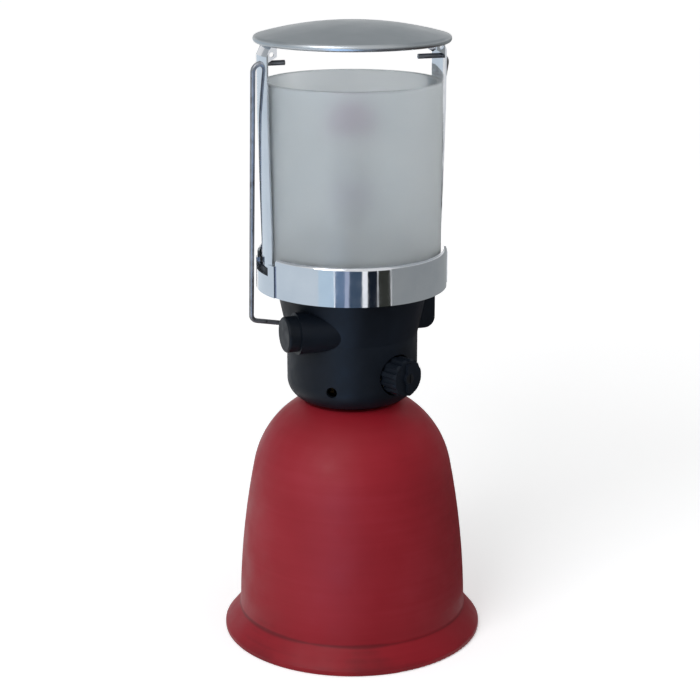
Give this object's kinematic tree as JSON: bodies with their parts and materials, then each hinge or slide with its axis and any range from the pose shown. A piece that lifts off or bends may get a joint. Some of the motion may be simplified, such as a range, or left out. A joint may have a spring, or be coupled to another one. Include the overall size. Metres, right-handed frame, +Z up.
{
  "type": "camping gas lantern",
  "caption": "Free-standing gas lantern: bell-shaped cartridge holder, valve housing with knob and piezo igniter, frosted glass round a mantle burner, domed cap and wire bail.",
  "frame": {"origin": "middle of the foot, on the surface that the lantern stands on", "axes": "+Z up, uprights and bail axis along X with the igniter on the -X side, gas knob towards -Y"},
  "size_m": [0.1214, 0.1214, 0.2855],
  "materials": {
    "red_plastic": "moulded, matt, faint rings",
    "black_plastic": "moulded, satin",
    "button_plastic": "moulded, satin",
    "chrome": "polished plate on pressed steel",
    "cap_metal": "satin pressed sheet",
    "wire_steel": "drawn plated wire",
    "frosted_glass": "frosted all over",
    "brass": "turned",
    "plated_steel": "zinc plated",
    "black_steel": "blackened screw",
    "can_steel": "plain painted can",
    "burner_steel": "heat stained",
    "rubber": "moulded",
    "fibre": "pressed fibre washer",
    "ceramic": "glazed ceramic",
    "mantle_cloth": "knitted, dyed pale lilac",
    "string": "twisted cord",
    "lead_cover": "silicone sleeve"
  },
  "bodies": {
    "holder": {"cartridge_holder": "red_plastic", "neck_bush": "plated_steel", "cartridge_stirrup": "plated_steel", "neck_rivets": "plated_steel", "gas_cartridge": "can_steel"},
    "neck": {"neck_washer": "fibre"},
    "head": {"valve_housing": "black_plastic", "valve_block": "brass", "block_screws": "plated_steel", "piercing_needle": "plated_steel", "cartridge_seal": "rubber", "gas_jet": "brass", "spindle_seal": "rubber", "gland_nut": "brass", "mixing_tube": "brass", "burner_head": "burner_steel", "burner_gauze": "burner_steel", "mantle_support": "burner_steel", "mantle": "mantle_cloth", "mantle_tie": "string", "glass_tray": "plated_steel", "tray_screws": "plated_steel", "tray_nut": "brass", "collar": "chrome", "glass_chimney": "frosted_glass", "igniter_unit": "button_plastic", "igniter_ring": "plated_steel", "igniter_spring": "plated_steel", "electrode_insulator": "ceramic", "electrode": "burner_steel", "ignition_lead": "lead_cover", "top_cap": "cap_metal", "left_upright": "chrome", "right_upright": "chrome"},
    "spindle": {"valve_spindle": "brass"},
    "knob": {"control_knob": "black_plastic", "knob_screw": "black_steel"},
    "button": {"igniter_button": "button_plastic"},
    "bail": {"bail": "wire_steel"}
  },
  "joints": [
    {"name": "head_rise", "type": "slide", "parent": "holder", "child": "neck", "axis": [0, 0, 1], "range_m": [0, 0.01001]},
    {"name": "head_unscrew", "type": "hinge", "parent": "neck", "child": "head", "pos_m": [0, 0, 0.11367], "axis": [0, 0, 1], "range_deg": [0, 1800]},
    {"name": "spindle_rise", "type": "slide", "parent": "head", "child": "spindle", "axis": [0.3746, -0.9272, 0], "range_m": [0, 0.00113]},
    {"name": "knob_turn", "type": "hinge", "parent": "spindle", "child": "knob", "pos_m": [0, 0, 0.13007], "axis": [0.3746, -0.9272, 0], "range_deg": [0, 540]},
    {"name": "igniter_press", "type": "slide", "parent": "head", "child": "button", "axis": [1, 0, 0], "range_m": [0, 0.0055], "stiffness_N_per_m": 1500, "deforming": ["igniter_spring"]},
    {"name": "bail_swing", "type": "hinge", "parent": "head", "child": "bail", "pos_m": [0, 0, 0.26867], "axis": [1, 0, 0], "range_deg": [0, 326]}
  ],
  "couplings": [
    {"joint": "head_rise", "follows": "head_unscrew", "m_per_rad": 0.00031831},
    {"joint": "spindle_rise", "follows": "knob_turn", "m_per_rad": 0.00011937}
  ]
}
